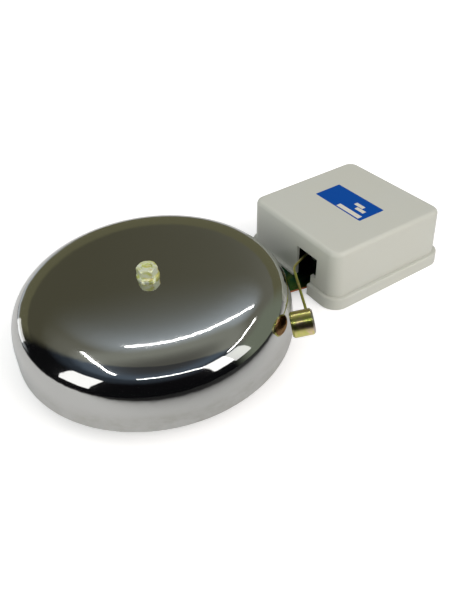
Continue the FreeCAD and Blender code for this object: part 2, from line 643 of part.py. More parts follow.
def stands(edge):
    """A test for edges that stand upright."""
    return edge.BoundBox.ZLength > edge.Length / 2


def headed(name, radius, length, head_radius, head_height, x, y, z):
    """A rivet or screw along +Y whose head lies on the -Y side of the face at y."""
    shank = cylinder(f"{name}_shank", radius, length, x, y, z, AXIS_Y)
    head = cylinder(f"{name}_head", head_radius, head_height, x, f"{y} - {head_height}", z,
                    AXIS_Y)
    return fuse(name, shank, head)


def make_armature():
    """Armature bar, leaf spring, its post and clamp, with rivets and screws."""
    x0, x1 = "Place.armature_x0", "Place.armature_x1"
    y0, y1 = "Place.armature_y0", "Place.armature_y1"
    z0, z1 = "Place.core_z0", "Place.core_z0 + Size.core_stack"
    bar = box("armature_bar", x0, x1, y0, y1, z0, z1)
    eased = round_edges("armature_eased", bar, size.post_edge, stands)
    socket = cylinder("rod_socket_bore", "Size.rod_diameter / 2 + Size.rod_fit",
                      "2 * Size.rod_socket", f"{x0} - Size.rod_socket",
                      "-Size.armature_offset", "Place.work_z", AXIS_X)
    heights = [f"Place.work_z {sign} Size.rivet_spacing / 2" for sign in "-+"]
    spring_back = f"{y0} - Size.spring_sheet"
    rivet_x = f"{x1} - Size.spring_grip / 2"
    rivet_holes = [bore_across(f"rivet_hole_{index}", "Size.rivet_diameter / 2 + Size.slide_fit",
                               rivet_x, height) for index, height in enumerate(heights)]
    cut("armature", eased, socket, *rivet_holes)

    post_x, post_x1 = "Place.post_x", "Place.post_x + Size.post_length"
    clamp_x = f"{post_x} + Size.post_length / 2"
    strip_z = [f"Place.work_z {sign} Size.spring_width / 2" for sign in "-+"]
    strip = box("spring_strip", f"{x1} - Size.spring_grip", post_x1, spring_back, y0, *strip_z)
    clamp_holes = [bore_across(f"clamp_hole_{index}", "Size.clamp_screw / 2 + Size.slide_fit",
                               clamp_x, height) for index, height in enumerate(heights)]
    cut("leaf_spring", strip, *rivet_holes, *clamp_holes)
    clamp_y = f"{spring_back} - Size.clamp_sheet"
    strap = box("clamp_strap", post_x, post_x1, clamp_y, spring_back, *strip_z)
    cut("spring_clamp", strap, *clamp_holes)

    rivets, screws, threads = [], [], []
    screw_head = "Size.clamp_screw * Size.head_height"
    for index, height in enumerate(heights):
        rivets.append(headed(f"rivet_{index}", "Size.rivet_diameter / 2",
                             "Size.armature_thickness + Size.spring_sheet", "Size.rivet_head / 2",
                             "Size.rivet_head_height", rivet_x, spring_back, height))
        screws.append(headed(f"clamp_screw_{index}", "Size.clamp_screw / 2",
                             "Size.clamp_screw_length", "Size.clamp_screw * Size.head_radius",
                             screw_head, clamp_x, clamp_y, height))
        threads.append(cylinder(f"clamp_thread_{index}",
                                "Size.clamp_screw / 2 + Size.thread_fit",
                                "Size.clamp_screw_length", clamp_x,
                                f"{y0} - Size.clamp_sheet", height, AXIS_Y))
    group("spring_rivets", *rivets)
    group("clamp_screws", *screws)

    post = box("post_block", post_x, post_x1, y0, f"{y0} + Size.post_depth", "Place.plate_top",
               z1)
    tapped = cylinder("post_thread", "Size.post_screw / 2 + Size.thread_fit",
                      "Size.post_screw_length", *POST_SCREWS[0], "Size.plate_lift")
    cut("spring_post", round_edges("post_eased", post, size.post_edge, stands), tapped, *threads)
    screw("post_screw", "Size.post_screw", "Size.post_screw_length", *POST_SCREWS[0],
          "Size.plate_lift", down=False)


def make_back_stop():
    """Pin riveted in the plate, with a rubber sleeve that the armature falls back on."""
    at = ("Place.stop_x", "Place.stop_y")
    sleeve_top = "Place.work_z + Size.stop_sleeve_height / 2"
    cylinder("stop_pin", "Size.stop_pin / 2",
             f"{sleeve_top} + Size.stop_pin_end - Size.plate_lift", *at, "Size.plate_lift")
    blank = cylinder("sleeve_blank", "Size.stop_sleeve / 2", "Size.stop_sleeve_height", *at,
                     "Place.work_z - Size.stop_sleeve_height / 2")
    cut("stop_sleeve", blank,
        bore("sleeve_bore", "Size.stop_pin / 2 + Size.slide_fit", *at))


def hammer_frame():
    """The hammer's centre, its axis in plan and as it stands, and the rod's hole on it."""
    bearing, turn, tilt = [math.radians(angle) for angle in
                           (size.hammer_bearing, size.hammer_turn, size.hammer_tilt)]
    reach = size.gong_diameter / 2 + size.hammer_stand_off
    centre = FreeCAD.Vector(place.gong_x + reach * math.cos(bearing),
                            -reach * math.sin(bearing), size.hammer_height)
    level = FreeCAD.Vector(math.cos(turn), -math.sin(turn), 0)
    axis = level * math.cos(tilt) + FreeCAD.Vector(0, 0, math.sin(tilt))
    return centre, level, axis, centre + axis * size.hammer_offset


def rod_path():
    """Corners of the wire, from the armature to the hammer, square to it in plan."""
    slope = math.radians(size.rod_run_angle)
    start = FreeCAD.Vector(place.armature_x0 + size.rod_socket, -size.armature_offset,
                           place.work_z)
    lead = FreeCAD.Vector(place.armature_x0 - size.rod_lead, -size.armature_offset,
                          place.work_z)
    run = FreeCAD.Vector(-math.cos(slope), -math.sin(slope), 0)
    centre, level, axis, hole = hammer_frame()
    corner = lead + run * ((hole - lead).dot(level) / run.dot(level))
    corner.z = size.rod_corner_height
    tail = (hole - corner).normalize()
    return [start, lead, corner, hole + tail * size.hammer_socket], tail


def bent_wire(points, bends):
    """Straight runs joined by tangent arcs; bends gives each inner corner's radius."""
    edges, last = [], points[0]
    for before, corner, after, radius in zip(points, points[1:], points[2:], bends):
        back = (before - corner).normalize()
        onward = (after - corner).normalize()
        turn = math.pi - back.getAngle(onward)
        trim = radius * math.tan(turn / 2)
        bisector = (back + onward).normalize()
        middle = corner + bisector * (radius / math.cos(turn / 2) - radius)
        edges.append(Part.LineSegment(last, corner + back * trim).toShape())
        edges.append(Part.Arc(corner + back * trim, middle, corner + onward * trim).toShape())
        last = corner + onward * trim
    edges.append(Part.LineSegment(last, points[-1]).toShape())
    return Part.Wire(edges)


def make_hammer():
    points, tail = rod_path()
    spine = bent_wire(points, (size.rod_lead_bend, size.rod_bend))
    start = Part.Circle(points[0], FreeCAD.Vector(1, 0, 0), size.rod_diameter / 2)
    rod = doc.addObject("Part::Feature", "hammer_rod")
    rod.Shape = spine.makePipeShell([Part.Wire(start.toShape())], True, True)

    centre, level, axis, hole = hammer_frame()
    blank = Part.makeCylinder(size.hammer_diameter / 2, size.hammer_length,
                              centre - axis * size.hammer_length / 2, axis)
    ends = [edge for edge in blank.Edges if edge.Closed]
    turned = blank.makeChamfer(size.hammer_chamfer, ends)
    drill = Part.makeCylinder(size.rod_diameter / 2 + size.rod_fit,
                              size.hammer_diameter + size.hammer_socket,
                              hole - tail * size.hammer_diameter, tail)
    hammer = doc.addObject("Part::Feature", "hammer")
    hammer.Shape = turned.cut(drill)


def make_terminals():
    """Two-way screw terminal block behind the cable inlet, and the plate's earth screw."""
    x0, x1 = "Place.block_x", "Place.block_x + Size.block_length"
    y0, y1 = "Place.block_y", "Place.block_y + Size.block_width"
    z0, z1 = "Place.plate_top", "Place.plate_top + Size.block_height"
    moulding = box("block_moulding", x0, x1, y0, y1, z0, z1)
    eased = round_edges("block_eased", moulding, size.post_edge, stands)
    axis_z = f"{z0} + Size.block_height / 2"
    fit, inset = "Size.slide_fit", "Size.terminal_inset"
    tubes, screws, wells, ways = [], [], [], []
    for index, sign in enumerate("-+"):
        way = f"Place.inlet_y {sign} Size.terminal_pitch / 2"
        tube = cylinder(f"tube_blank_{index}", "Size.terminal_tube / 2",
                        f"Size.block_length - 2 * {inset}", f"{x0} + {inset}", way, axis_z,
                        AXIS_X)
        passages = [cylinder(f"{name}_{index}", radius, "2 * Size.block_length",
                             f"{x0} - Size.block_length / 2", way, axis_z, AXIS_X)
                    for name, radius in (("wire_way", "Size.terminal_bore / 2"),
                                         ("tube_way", f"Size.terminal_tube / 2 + {fit}"))]
        pair = []
        for step, shift in enumerate("-+"):
            at = (f"{x0} + Size.block_length / 2 {shift} Size.block_length / 4", way)
            name = f"terminal_{index}_{step}"
            screws.append(cylinder(f"{name}_screw", "Size.terminal_screw / 2",
                                   "Size.terminal_screw_length", *at, f"{axis_z} + {inset} / 2"))
            pair.append(cylinder(f"{name}_well", f"Size.terminal_screw / 2 + {fit}",
                                 "Size.block_height", *at, f"{axis_z} + {inset} / 2"))
        tubes.append(cut(f"terminal_tube_{index}", tube, passages[0], *pair))
        ways.append(passages[1])
        wells += pair
    fixing = bore("block_fixing", f"Size.block_screw / 2 + {fit}", *BLOCK_SCREW)
    cut("terminal_block", eased, fixing, *ways, *wells)
    group("terminal_tubes", *tubes)
    group("terminal_screws", *screws)
    screw("block_screw", "Size.block_screw", "Size.block_screw_length", *BLOCK_SCREW, z1)
    blank = cylinder("earth_washer_blank", "Size.earth_washer / 2",
                     "Size.earth_washer_thickness", *EARTH_SCREW, z0)
    cut("earth_washer", blank, bore("earth_washer_bore", f"Size.earth_screw / 2 + {fit}",
                                    *EARTH_SCREW))
    screw("earth_screw", "Size.earth_screw", "Size.earth_screw_length", *EARTH_SCREW,
          f"{z0} + Size.earth_washer_thickness")


NODES = [
    "gong", "gong_bolt", "gong_pillar", "felt_washer", "gong_washer", "gong_nut",
    "base_plate", "cover", "cover_screws", "cable_grommet", "magnet_core", "coil_bobbin",
    "coil_winding", "core_spacers", "core_screws", "core_nuts", "armature", "leaf_spring",
    "spring_rivets", "spring_post", "spring_clamp", "clamp_screws", "post_screw",
    "stop_pin", "stop_sleeve", "hammer_rod", "hammer", "terminal_block", "terminal_tubes",
    "terminal_screws", "block_screw", "earth_washer", "earth_screw",
]


def export_nodes():
    """Check every object and sub-part, then write each sub-part's STEP file."""
    doc.recompute()
    failed = [item.Name for item in doc.Objects if {"Invalid", "Error"} & set(item.State)]
    if failed:
        raise RuntimeError(f"failed objects: {failed}")
    os.makedirs("parts", exist_ok=True)
    for node in NODES:
        item = doc.getObject(node)
        shape = item.Shape
        if shape.isNull() or not shape.isValid() or not shape.Solids:
            raise RuntimeError(f"bad shape: {node}")
        item.Label = node
        shape.exportStep(f"parts/{node}.step")
        bounds = shape.optimalBoundingBox()
        print(f"{node}: {len(shape.Solids)} solid, {shape.Volume:.0f} mm3, "
              f"x {bounds.XMin:.1f}..{bounds.XMax:.1f} y {bounds.YMin:.1f}..{bounds.YMax:.1f} "
              f"z {bounds.ZMin:.1f}..{bounds.ZMax:.1f}")


make_gong()
make_pillar()
make_base_plate()
make_cover()
make_cover_screws()
make_grommet()
make_magnet()
make_armature()
make_back_stop()
make_hammer()
make_terminals()
export_nodes()
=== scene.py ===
import math

import bmesh
import bpy
import numpy as np
from bpy.props import FloatProperty, FloatVectorProperty, PointerProperty
from mathutils import Matrix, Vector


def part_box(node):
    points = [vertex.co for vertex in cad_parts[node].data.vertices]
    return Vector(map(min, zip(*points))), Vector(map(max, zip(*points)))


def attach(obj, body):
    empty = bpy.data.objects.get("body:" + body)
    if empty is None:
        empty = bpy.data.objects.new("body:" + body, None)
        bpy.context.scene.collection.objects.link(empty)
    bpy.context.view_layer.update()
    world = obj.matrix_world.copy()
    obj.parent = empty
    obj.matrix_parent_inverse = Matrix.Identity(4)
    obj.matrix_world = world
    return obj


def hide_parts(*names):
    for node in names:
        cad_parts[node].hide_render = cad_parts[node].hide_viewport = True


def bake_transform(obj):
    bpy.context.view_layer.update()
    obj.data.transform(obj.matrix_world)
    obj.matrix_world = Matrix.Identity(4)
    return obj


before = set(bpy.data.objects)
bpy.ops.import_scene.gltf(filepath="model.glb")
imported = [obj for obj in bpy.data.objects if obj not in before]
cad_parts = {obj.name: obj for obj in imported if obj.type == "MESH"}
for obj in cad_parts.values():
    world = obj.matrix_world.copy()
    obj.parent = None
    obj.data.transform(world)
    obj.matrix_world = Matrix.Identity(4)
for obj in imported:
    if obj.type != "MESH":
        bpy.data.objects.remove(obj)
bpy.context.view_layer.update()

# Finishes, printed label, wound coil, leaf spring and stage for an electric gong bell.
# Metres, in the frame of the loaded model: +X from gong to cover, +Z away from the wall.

bl_info = {
    "name": "Electric gong bell",
    "version": (1, 0, 0),
    "blender": (4, 5, 0),
    "location": "3D View > Sidebar > Bell",
    "description": "Finishes and fine pieces for an electric gong bell",
    "category": "Object",
}

MM = 0.001
GONG_LOW, GONG_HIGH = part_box("gong")
COVER_LOW, COVER_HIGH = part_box("cover")


def length(name, description, default):
    """A property for a size in metres."""
    return FloatProperty(name=name, description=description, default=default,
                         min=0.0, precision=5, subtype="DISTANCE", unit="LENGTH")


def colour(name, description, default):
    """A property for a linear colour."""
    return FloatVectorProperty(name=name, description=description, default=default,
                               size=3, min=0.0, max=1.0, subtype="COLOR")


def level(name, description, default):
    """A property for a plain number from 0 up."""
    return FloatProperty(name=name, description=description, default=default, min=0.0)


class BellSizes(bpy.types.PropertyGroup):
    """Sizes of the pieces that are added to the loaded model."""
    label_width: length("Label width", "Across the cover, along Y", 53.2 * MM)
    label_height: length("Label height", "Along the cover, along X", 25.4 * MM)
    label_corner: length("Label corner", "Radius of the label's corners", 0.8 * MM)
    label_thickness: length("Label thickness", "Film and adhesive together", 0.12 * MM)
    label_inset: length("Label inset", "From the cover's near end to the label", 50.3 * MM)
    wire: length("Coil wire", "Pitch of the enamelled wire", 0.45 * MM)
    coil_corner: length("Coil corner", "Radius that the outer turns are drawn round", 4.5 * MM)
    spring_edge: length("Spring edge", "Radius of the leaf spring's long edges", 0.1 * MM)


class BellColours(bpy.types.PropertyGroup):
    """Colours of the finishes, linear."""
    chrome: colour("Chrome", "Plated and polished gong", (0.56, 0.56, 0.545))
    gold: colour("Passivated gold", "Main colour of the zinc", (0.86, 0.72, 0.32))
    green: colour("Passivated green", "Thick film on the zinc", (0.66, 0.70, 0.16))
    rose: colour("Passivated rose", "Thin film on the zinc", (0.86, 0.62, 0.50))
    # pale: partly the nut's own pale film, partly painted highlights; near white so that diffuse
    # light stands in for the lamps mirrored in its facets
    pale: colour("Passivated pale", "Thinnest film, on the nut", (0.90, 0.96, 0.76))
    copper: colour("Passivated copper", "Film on the hammer's near end", (0.72, 0.38, 0.18))
    violet: colour("Passivated violet", "Film on the hammer's far end", (0.52, 0.46, 0.48))
    olive: colour("Passivated olive", "Film on the hammer's wire", (0.62, 0.55, 0.18))
    plate_green: colour("Plate green", "Thick film on the base plate", (0.03, 0.14, 0.035))
    plate_red: colour("Plate red", "Film on the plate's edges", (0.62, 0.17, 0.09))
    ivory: colour("Ivory", "Moulded cover", (0.55, 0.562, 0.515))
    label: colour("Label blue", "Printed film", (0.0, 0.068, 0.36))
    field: colour("Label field", "Unprinted field", (0.63, 0.61, 0.53))
    lacquer: colour("Wire enamel", "Enamelled copper", (0.55, 0.19, 0.07))


class BellRoom(bpy.types.PropertyGroup):
    """Tones of the room that polished metal shows, linear; dark ones face -X and -Y."""
    wall: colour("Wall", "Olive foot of the lit walls", (0.16, 0.155, 0.09))
    dim_wall: colour("Dim wall", "Over the foot, towards -X", (0.1, 0.096, 0.063))
    side_wall: colour("Side wall", "Over the foot, towards +X", (0.19, 0.19, 0.155))
    far_wall: colour("Far wall", "Grey wall past the cover", (0.23, 0.26, 0.2))
    glow: colour("Glow", "Pale band low behind the gong", (0.6, 0.64, 0.68))
    strip: colour("Strip", "Pale strip over the lit walls", (0.43, 0.48, 0.52))
    ceiling: colour("Ceiling", "Ceiling on the lit side", (0.3, 0.31, 0.27))
    zenith: colour("Zenith", "Right overhead, lit side", (0.125, 0.125, 0.11))
    dark_wall: colour("Dark wall", "Wall on the dark side", (0.005, 0.005, 0.006))
    dark_strip: colour("Dark strip", "Over the dark walls", (0.035, 0.045, 0.06))
    dark_ceiling: colour("Dark ceiling", "Ceiling on the dark side", (0.1, 0.13, 0.17))
    dark_zenith: colour("Dark zenith", "Right overhead, dark side", (0.058, 0.06, 0.062))


class BellStage(bpy.types.PropertyGroup):
    """Light and floor."""
    fill: level("Fill", "Even light from the surroundings", 0.4)
    key: level("Key", "Broad lamp over the cover's -Y side", 1.05)
    side: level("Side", "Broad lamp over the gong's side", 0.8)
    tubes: level("Tubes", "Brightness of the four long lamps", 17.0)
    panels: level("Panels", "Brightness of the pale panels", 1.9)
    floor_lift: level("Floor lift", "Extra white of the floor", 0.45)
    floor_reach: length("Floor reach", "Half the floor's side", 9.0)


# ---------------------------------------------------------------- meshes

def grid_piece(name, points, body, finish, sharp=35.0):
    """A piece from a grid of points, rows by columns by 3, as quads.

    The last column joins the first. Points that coincide, such as a pole's, are merged,
    and edges sharper than the angle sharp stay sharp. A body of None leaves it unridden.
    """
    rows, columns = points.shape[:2]
    across = np.arange(columns)
    row = np.arange(rows - 1)[:, None]
    here, there = across[None, :], (across[None, :] + 1) % columns
    corners = [row * columns + here, row * columns + there,
               (row + 1) * columns + there, (row + 1) * columns + here]
    faces = np.stack(np.broadcast_arrays(*corners), axis=-1).reshape(-1, 4)
    mesh = bpy.data.meshes.new(name)
    mesh.from_pydata(points.reshape(-1, 3).tolist(), [], faces.tolist())
    shape = bmesh.new()
    shape.from_mesh(mesh)
    bmesh.ops.remove_doubles(shape, verts=shape.verts, dist=1e-7)
    bmesh.ops.recalc_face_normals(shape, faces=shape.faces)
    shape.to_mesh(mesh)
    shape.free()
    mesh.shade_smooth()
    mesh.set_sharp_from_angle(angle=math.radians(sharp))
    mesh.materials.append(finish)
    piece = bpy.data.objects.new(name, mesh)
    bpy.context.scene.collection.objects.link(piece)
    if body is not None:
        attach(piece, body)
    return piece


def rounded_ring(half_x, half_y, corner, count):
    """Points round a rectangle with round corners, count by 2.

    The distance from each corner's centre follows a quarter circle: the direction of
    each point's outward normal turns evenly, and the point is the corner's centre on
    that side plus the corner's radius along the normal.
    """
    turn = (np.arange(count) + 0.5) / count * 2 * np.pi
    normal = np.stack([np.cos(turn), np.sin(turn)], axis=1)
    inner = np.array([half_x, half_y]) - corner
    return np.sign(normal) * inner + normal * corner


# ---------------------------------------------------------------- node trees

class Tree:
    """Short calls that add nodes to a tree and link them."""

    def __init__(self, tree):
        self.tree = tree

    def add(self, kind, inputs=(), **settings):
        """A node with its settings, and its inputs set or linked by name or number."""
        node = self.tree.nodes.new(kind)
        for key, value in settings.items():
            setattr(node, key, value)
        for key, value in dict(inputs).items():
            self.feed(node.inputs[key], value)
        return node

    def feed(self, socket, value):
        if isinstance(value, bpy.types.NodeSocket):
            self.tree.links.new(value, socket)
        elif socket.type == "RGBA" and len(value) == 3:
            socket.default_value = (*value, 1.0)
        else:
            socket.default_value = value

    def math(self, operation, *values):
        return self.add("ShaderNodeMath", enumerate(values), operation=operation).outputs[0]

    def mix(self, factor, first, second):
        node = self.add("ShaderNodeMix", {"Factor": factor}, data_type="RGBA")
        self.feed(node.inputs[6], first)
        self.feed(node.inputs[7], second)
        return node.outputs[2]

    def ease(self, value, low, high, start=0.0, end=1.0):
        """A smooth step from start at low to end at high."""
        inputs = {"Value": value, "From Min": low, "From Max": high,
                  "To Min": start, "To Max": end}
        return self.add("ShaderNodeMapRange", inputs, interpolation_type="SMOOTHSTEP").outputs[0]

    def noise(self, vector, scale, detail=3.0, roughness=0.5, distortion=0.0):
        inputs = {"Vector": vector, "Scale": scale, "Detail": detail,
                  "Roughness": roughness, "Distortion": distortion}
        return self.add("ShaderNodeTexNoise", inputs).outputs["Fac"]

    def place(self, scale=(1, 1, 1), centre=(0, 0, 0)):
        """Object coordinates from a centre, stretched by a scale."""
        where = self.add("ShaderNodeTexCoord").outputs["Object"]
        shift = [-c * s for c, s in zip(centre, scale)]
        inputs = {"Vector": where, "Location": shift, "Scale": scale}
        return self.add("ShaderNodeMapping", inputs).outputs[0]

    def parts(self, vector):
        return self.add("ShaderNodeSeparateXYZ", {0: vector}).outputs

    def bump(self, height, distance, strength=1.0):
        inputs = {"Height": height, "Distance": distance, "Strength": strength}
        return self.add("ShaderNodeBump", inputs).outputs[0]

    def use(self, group, inputs):
        """A group node with its inputs set or linked."""
        node = self.tree.nodes.new("ShaderNodeGroup")
        node.node_tree = group
        for key, value in inputs.items():
            self.feed(node.inputs[key], value)
        return node.outputs


SOCKETS = {"Vector": "NodeSocketVector", "Float": "NodeSocketFloat", "Colour": "NodeSocketColor"}


def effect(name, inputs, outputs, build):
    """A shared node group: named inputs and outputs, filled once by build(tree, inputs)."""
    if name in bpy.data.node_groups:
        return bpy.data.node_groups[name]
    group = bpy.data.node_groups.new(name, "ShaderNodeTree")
    for label, kind in inputs.items():
        group.interface.new_socket(label, in_out="INPUT", socket_type=SOCKETS[kind])
    for label, kind in outputs.items():
        group.interface.new_socket(label, in_out="OUTPUT", socket_type=SOCKETS[kind])
    tree = Tree(group)
    made = build(tree, tree.add("NodeGroupInput").outputs)
    tree.add("NodeGroupOutput", made)
    return group


def handling():
    """Patches of duller and cleaner surface: Roughness between Low and High."""
    def build(tree, given):
        scale = tree.math("DIVIDE", 1.0, given["Patch"])
        broad = tree.noise(given["Vector"], scale, 4.0, 0.6, 0.4)
        fine = tree.noise(given["Vector"], tree.math("MULTIPLY", scale, 9.0), 3.0, 0.65)
        mask = tree.ease(tree.math("ADD", tree.math("MULTIPLY", broad, 0.75),
                                   tree.math("MULTIPLY", fine, 0.25)), 0.35, 0.65)
        spread = tree.math("SUBTRACT", given["High"], given["Low"])
        roughness = tree.math("MULTIPLY_ADD", mask, spread, given["Low"])
        return {"Roughness": roughness, "Mask": mask}
    return effect("Handling marks",
                  {"Vector": "Vector", "Patch": "Float", "Low": "Float", "High": "Float"},
                  {"Roughness": "Float", "Mask": "Float"}, build)


def grain():
    """Fine grain of a size: Height from 0 to 1, with a coarser swell under it."""
    def build(tree, given):
        scale = tree.math("DIVIDE", 1.0, given["Size"])
        fine = tree.noise(given["Vector"], scale, 2.0, 0.6)
        swell = tree.noise(given["Vector"], tree.math("MULTIPLY", scale, 0.12), 2.0, 0.5)
        height = tree.math("ADD", tree.math("MULTIPLY", fine, 0.6),
                           tree.math("MULTIPLY", swell, 0.4))
        return {"Height": height, "Speck": tree.ease(fine, 0.62, 0.72)}
    return effect("Grain", {"Vector": "Vector", "Size": "Float"},
                  {"Height": "Float", "Speck": "Float"}, build)


def passivation():
    """The film colours of passivated zinc, drifting from one to the next in patches."""
    def build(tree, given):
        scale = tree.math("DIVIDE", 1.0, given["Patch"])
        first = tree.noise(given["Vector"], scale, 3.0, 0.55, 1.2)
        second = tree.noise(given["Vector"], tree.math("MULTIPLY", scale, 1.9), 3.0, 0.5, 0.8)
        film = tree.mix(tree.ease(first, 0.42, 0.62), given["Main"], given["Thick"])
        film = tree.mix(tree.ease(second, 0.52, 0.68, 0.0, 0.85), film, given["Thin"])
        streak = tree.noise(given["Vector"], tree.math("MULTIPLY", scale, 7.0), 4.0, 0.7)
        dull = tree.mix(tree.ease(streak, 0.5, 0.8, 0.0, 0.35), film, (0.2, 0.19, 0.13))
        return {"Colour": dull}
    return effect("Passivation film",
                  {"Vector": "Vector", "Patch": "Float", "Main": "Colour",
                   "Thick": "Colour", "Thin": "Colour"},
                  {"Colour": "Colour"}, build)


def field():
    """A printed rectangle: Mask is 1 inside Half X and Half Y of the vector's origin."""
    def build(tree, given):
        x, y, _ = tree.parts(given["Vector"])
        edge = 0.06 * MM
        masks = []
        for axis, half in ((x, "Half X"), (y, "Half Y")):
            past = tree.math("SUBTRACT", tree.math("ABSOLUTE", axis), given[half])
            masks.append(tree.ease(past, -edge, edge, 1.0, 0.0))
        return {"Mask": tree.math("MULTIPLY", *masks)}
    return effect("Printed field", {"Vector": "Vector", "Half X": "Float", "Half Y": "Float"},
                  {"Mask": "Float"}, build)


def new_finish(name, **sockets):
    """A material with a Principled BSDF whose sockets are set by name."""
    finish = bpy.data.materials.new(name)
    finish.use_nodes = True
    tree = Tree(finish.node_tree)
    shader = finish.node_tree.nodes["Principled BSDF"]
    for key, value in sockets.items():
        tree.feed(shader.inputs[key.replace("_", " ")], value)
    return finish, tree, shader


def dress(finish, *nodes):
    """Gives CAD nodes a finish in all of their material slots."""
    for name in nodes:
        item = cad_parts[name]
        for slot in item.material_slots:
            slot.material = finish


# ---------------------------------------------------------------- finishes

def chrome_finish(colours):
    """Polished chrome on the bowl, a little duller on the skirt, with faint hand marks."""
    finish, tree, shader = new_finish("Polished chrome", Metallic=1.0, Coat_Weight=0.3,
                                      Coat_Roughness=0.22)
    where = tree.place()
    height = tree.parts(where)[2]
    low = GONG_LOW[2] + 8 * MM
    skirt = tree.ease(height, low, low + 9 * MM, 1.0, 0.0)
    marks = tree.use(handling(), {"Vector": where, "Patch": 0.06, "Low": 0.045, "High": 0.065})
    rough = tree.math("MULTIPLY_ADD", skirt, 0.09, marks["Roughness"])
    haze = tree.mix(tree.math("MULTIPLY", marks["Mask"], 0.12), colours.chrome, (0.5, 0.49, 0.46))
    mottle = tree.ease(tree.noise(tree.place((70, 70, 130)), 1.0, 4.0, 0.7), 0.3, 0.8)
    haze = tree.mix(tree.math("MULTIPLY", skirt, mottle), haze, (0.46, 0.455, 0.42))
    tree.feed(shader.inputs["Base Color"], haze)
    tree.feed(shader.inputs["Roughness"], rough)
    swell = tree.noise(where, 16.0, 2.0, 0.4)
    tree.feed(shader.inputs["Normal"], tree.bump(swell, 0.01 * MM))
    return finish


def zinc_finish(name, patch, main, thick, thin, low, high, metal=1.0, axis=None, ends=None):
    """Colour-passivated zinc plate; with an axis, its two ends take tones of their own."""
    finish, tree, shader = new_finish(name, Metallic=metal)
    where = tree.place()
    film = tree.use(passivation(), {"Vector": where, "Patch": patch, "Main": main,
                                    "Thick": thick, "Thin": thin})["Colour"]
    if axis is not None:
        normal = tree.add("ShaderNodeNewGeometry").outputs["Normal"]
        along = tree.add("ShaderNodeVectorMath", {0: normal, 1: axis}, operation="DOT_PRODUCT")
        along = along.outputs["Value"]
        film = tree.mix(tree.ease(along, -0.95, -0.8, 0.9, 0.0), film, ends[0])
        film = tree.mix(tree.ease(along, 0.4, 0.7, 0.0, 0.8), film, ends[1])
    marks = tree.use(handling(), {"Vector": where, "Patch": patch * 0.7,
                                  "Low": low, "High": high})
    fine = tree.use(grain(), {"Vector": where, "Size": 0.25 * MM})
    tree.feed(shader.inputs["Base Color"], film)
    tree.feed(shader.inputs["Roughness"], marks["Roughness"])
    tree.feed(shader.inputs["Normal"], tree.bump(fine["Height"], 0.008 * MM))
    return finish


def plate_finish(colours):
    """The base plate's thick green film, redder towards its cut edges at the sides."""
    finish, tree, shader = new_finish("Passivated plate", Metallic=1.0)
    where = tree.place()
    film = tree.use(passivation(), {"Vector": where, "Patch": 0.035,
                                    "Main": colours.plate_green, "Thick": (0.02, 0.1, 0.05),
                                    "Thin": (0.12, 0.2, 0.03)})
    facing = tree.parts(tree.add("ShaderNodeNewGeometry").outputs["Normal"])[2]
    edge = tree.ease(tree.math("ABSOLUTE", facing), 0.3, 0.7, 0.85, 0.0)
    tree.feed(shader.inputs["Base Color"], tree.mix(edge, film["Colour"], colours.plate_red))
    marks = tree.use(handling(), {"Vector": where, "Patch": 0.02, "Low": 0.2, "High": 0.34})
    tree.feed(shader.inputs["Roughness"], marks["Roughness"])
    rolled = tree.noise(tree.place((60, 900, 900)), 1.0, 2.0, 0.5)
    tree.feed(shader.inputs["Normal"], tree.bump(rolled, 0.006 * MM))
    return finish


def ivory_finish(colours):
    """Semi-gloss moulded plastic, a touch warmer in patches, with a fine mould grain."""
    finish, tree, shader = new_finish("Ivory moulding")
    where = tree.place()
    marks = tree.use(handling(), {"Vector": where, "Patch": 0.08, "Low": 0.2, "High": 0.23})
    warm = [c * w for c, w in zip(colours.ivory, (1.0, 0.99, 0.97))]
    base = tree.mix(marks["Mask"], colours.ivory, warm)
    fine = tree.use(grain(), {"Vector": where, "Size": 0.9 * MM})
    base = tree.mix(tree.math("MULTIPLY", fine["Speck"], 0.03), base, (0.36, 0.34, 0.29))
    tree.feed(shader.inputs["Base Color"], base)
    tree.feed(shader.inputs["Roughness"], marks["Roughness"])
    tree.feed(shader.inputs["Normal"], tree.bump(fine["Height"], 0.004 * MM))
    return finish


def laminated_finish():
    """The edges of a stack of thin steel sheets, with a spot of rust here and there."""
    finish, tree, shader = new_finish("Laminated steel", Metallic=1.0)
    where = tree.place()
    height = tree.parts(where)[2]
    sheet = 0.5 * MM
    saw = tree.math("PINGPONG", height, sheet / 2)
    gap = tree.ease(saw, 0.0, 0.07 * MM, 1.0, 0.0)
    shade = tree.noise(tree.place((40, 40, 2000)), 1.0, 1.0, 0.5)
    steel = tree.mix(tree.ease(shade, 0.3, 0.7), (0.24, 0.25, 0.27), (0.42, 0.43, 0.44))
    rust = tree.ease(tree.noise(where, 260.0, 4.0, 0.6), 0.62, 0.74, 0.0, 0.7)
    steel = tree.mix(rust, steel, (0.19, 0.09, 0.04))
    tree.feed(shader.inputs["Base Color"], tree.mix(gap, steel, (0.03, 0.03, 0.03)))
    marks = tree.use(handling(), {"Vector": where, "Patch": 0.01, "Low": 0.3, "High": 0.5})
    tree.feed(shader.inputs["Roughness"], marks["Roughness"])
    tree.feed(shader.inputs["Normal"], tree.bump(gap, -0.04 * MM))
    return finish


def metal_finish(name, base, second, low, high, stretch):
    """Drawn or rolled metal: fine lines along one axis and dull patches."""
    finish, tree, shader = new_finish(name, Metallic=1.0)
    where = tree.place()
    lines = tree.noise(tree.place(stretch), 1.0, 3.0, 0.6)
    marks = tree.use(handling(), {"Vector": where, "Patch": 0.012, "Low": low, "High": high})
    tone = tree.mix(tree.ease(lines, 0.35, 0.65), base, second)
    tree.feed(shader.inputs["Base Color"], tree.mix(
        tree.math("MULTIPLY", marks["Mask"], 0.2), tone, [c * 0.5 for c in base]))
    tree.feed(shader.inputs["Roughness"], marks["Roughness"])
    tree.feed(shader.inputs["Normal"], tree.bump(lines, 0.01 * MM))
    return finish


